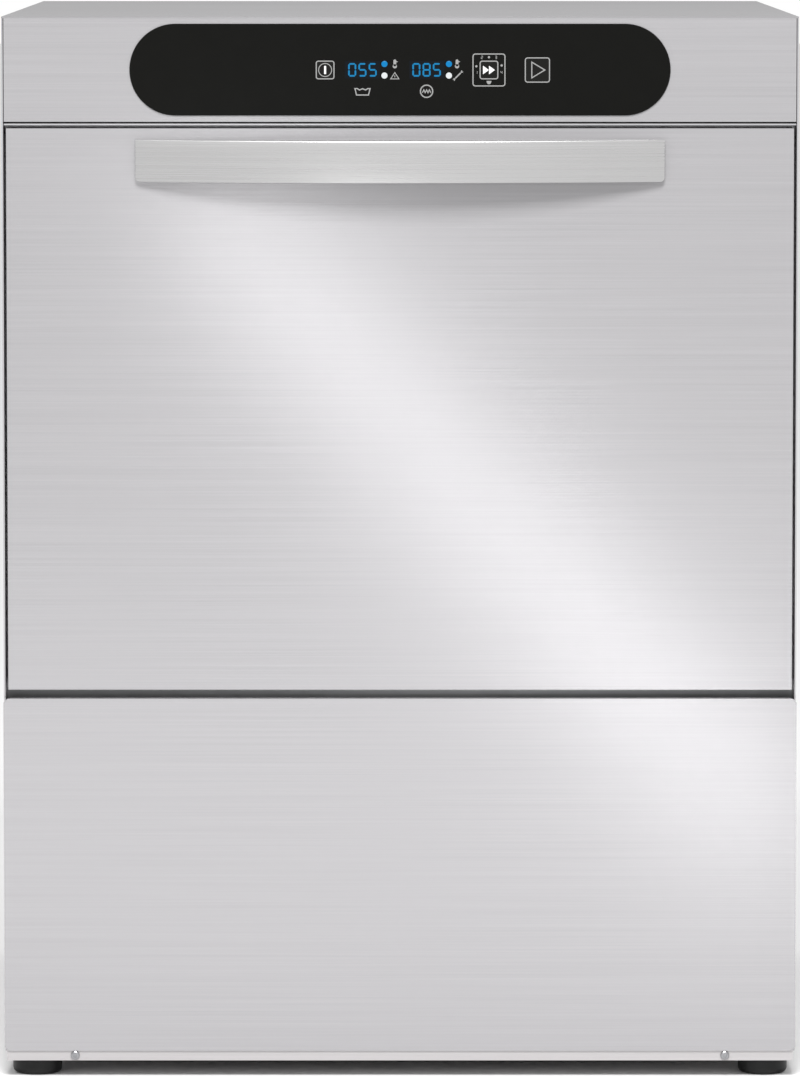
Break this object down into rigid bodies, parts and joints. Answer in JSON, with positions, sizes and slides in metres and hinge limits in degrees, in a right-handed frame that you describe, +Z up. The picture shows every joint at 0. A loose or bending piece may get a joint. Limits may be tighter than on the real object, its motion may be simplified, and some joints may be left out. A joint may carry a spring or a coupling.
{
  "type": "glass washer",
  "caption": "Front-loading commercial glass washer with a drop-down door, turning spray arms, a wire rack, push keys and screw feet.",
  "frame": {"origin": "on the floor, under the middle of the cabinet", "axes": "+Z up, the door and control panel face -Y, +X to the right seen from the front"},
  "size_m": [0.601, 0.652, 0.806],
  "materials": {
    "brushed_panel": "horizontally brushed",
    "satin_sheet": "satin",
    "bright_metal": "polished",
    "foot_plastic": "moulded",
    "gloss_black": "glossy",
    "key_black": "glossy",
    "light_guide": "clear",
    "board_green": "matte",
    "soft_rubber": "matte",
    "rack_coating": "smooth coating",
    "machine_plastic": "moulded",
    "pipe_plastic": "moulded",
    "motor_paint": "painted"
  },
  "bodies": {
    "cabinet": {"side_panel_left": "brushed_panel", "side_panel_right": "brushed_panel", "top_cover": "brushed_panel", "control_fascia": "brushed_panel", "lower_front_panel": "brushed_panel", "base_tray": "satin_sheet", "rear_panel": "satin_sheet", "front_frame": "satin_sheet", "chamber_wrap": "satin_sheet", "chamber_ceiling": "satin_sheet", "wash_tank": "satin_sheet", "rack_rail_left": "satin_sheet", "rack_rail_right": "satin_sheet", "filter_plate": "satin_sheet", "sump_strainer": "satin_sheet", "standpipe": "satin_sheet", "lower_manifold": "satin_sheet", "upper_spindle": "satin_sheet", "rinse_boiler": "satin_sheet", "electrical_plate": "satin_sheet", "cabinet_screws": "bright_metal", "hinge_brackets": "bright_metal", "door_springs": "bright_metal", "tank_heater": "bright_metal", "boiler_heater": "bright_metal", "control_membrane": "gloss_black", "display_modules": "gloss_black", "status_lights": "light_guide", "control_board": "board_green", "door_gasket": "soft_rubber", "suction_hose": "soft_rubber", "boiler_fill_hose": "soft_rubber", "drain_hose": "soft_rubber", "glass_rack": "rack_coating", "wash_pump_housing": "machine_plastic", "door_switch": "machine_plastic", "inlet_valve": "machine_plastic", "drain_pump": "machine_plastic", "dosing_pumps": "machine_plastic", "contactors": "machine_plastic", "cable_gland": "machine_plastic", "wash_delivery_pipe": "pipe_plastic", "rinse_pipe": "pipe_plastic", "wash_pump_motor": "motor_paint"},
    "door": {"door_outer_panel": "brushed_panel", "door_inner_panel": "satin_sheet", "door_handle": "brushed_panel", "door_hinge_ears": "bright_metal"},
    "lower_wash_arm": {"lower_wash_arm": "satin_sheet"},
    "lower_rinse_arm": {"lower_rinse_arm": "satin_sheet"},
    "upper_wash_arm": {"upper_wash_arm": "satin_sheet"},
    "upper_rinse_arm": {"upper_rinse_arm": "satin_sheet"},
    "pump_rotor": {"pump_impeller": "bright_metal"},
    "power_key": {"power_key": "key_black"},
    "program_key": {"program_key": "key_black"},
    "start_key": {"start_key": "key_black"},
    "foot_front_left": {"foot_front_left": "foot_plastic"},
    "foot_front_right": {"foot_front_right": "foot_plastic"},
    "foot_rear_left": {"foot_rear_left": "foot_plastic"},
    "foot_rear_right": {"foot_rear_right": "foot_plastic"}
  },
  "joints": [
    {"name": "door_hinge", "type": "hinge", "parent": "cabinet", "child": "door", "pos_m": [0, -0.285, 0.308], "axis": [1, 0, 0], "range_deg": [0, 90], "stiffness_Nm_per_rad": 5, "springref_deg": -2.86},
    {"name": "lower_wash_arm_spin", "type": "hinge", "parent": "cabinet", "child": "lower_wash_arm", "pos_m": [0, 0, 0.35], "axis": [0, 0, 1], "continuous": true},
    {"name": "lower_rinse_arm_spin", "type": "hinge", "parent": "cabinet", "child": "lower_rinse_arm", "pos_m": [0, 0, 0.369], "axis": [0, 0, 1], "continuous": true},
    {"name": "upper_wash_arm_spin", "type": "hinge", "parent": "cabinet", "child": "upper_wash_arm", "pos_m": [0, 0, 0.682], "axis": [0, 0, 1], "continuous": true},
    {"name": "upper_rinse_arm_spin", "type": "hinge", "parent": "cabinet", "child": "upper_rinse_arm", "pos_m": [0, 0, 0.663], "axis": [0, 0, 1], "continuous": true},
    {"name": "pump_rotor_spin", "type": "hinge", "parent": "cabinet", "child": "pump_rotor", "pos_m": [-0.13, -0.05, 0.1], "axis": [0, 1, 0], "continuous": true},
    {"name": "power_key_press", "type": "slide", "parent": "cabinet", "child": "power_key", "axis": [0, 1, 0], "range_m": [0, 0.0008], "stiffness_N_per_m": 2500, "springref_m": -0.0002},
    {"name": "program_key_press", "type": "slide", "parent": "cabinet", "child": "program_key", "axis": [0, 1, 0], "range_m": [0, 0.0008], "stiffness_N_per_m": 2500, "springref_m": -0.0002},
    {"name": "start_key_press", "type": "slide", "parent": "cabinet", "child": "start_key", "axis": [0, 1, 0], "range_m": [0, 0.0008], "stiffness_N_per_m": 2500, "springref_m": -0.0002},
    {"name": "foot_front_left_screw", "type": "slide", "parent": "cabinet", "child": "foot_front_left", "axis": [0, 0, 1], "range_m": [-0.025, 0]},
    {"name": "foot_front_right_screw", "type": "slide", "parent": "cabinet", "child": "foot_front_right", "axis": [0, 0, 1], "range_m": [-0.025, 0]},
    {"name": "foot_rear_left_screw", "type": "slide", "parent": "cabinet", "child": "foot_rear_left", "axis": [0, 0, 1], "range_m": [-0.025, 0]},
    {"name": "foot_rear_right_screw", "type": "slide", "parent": "cabinet", "child": "foot_rear_right", "axis": [0, 0, 1], "range_m": [-0.025, 0]}
  ]
}
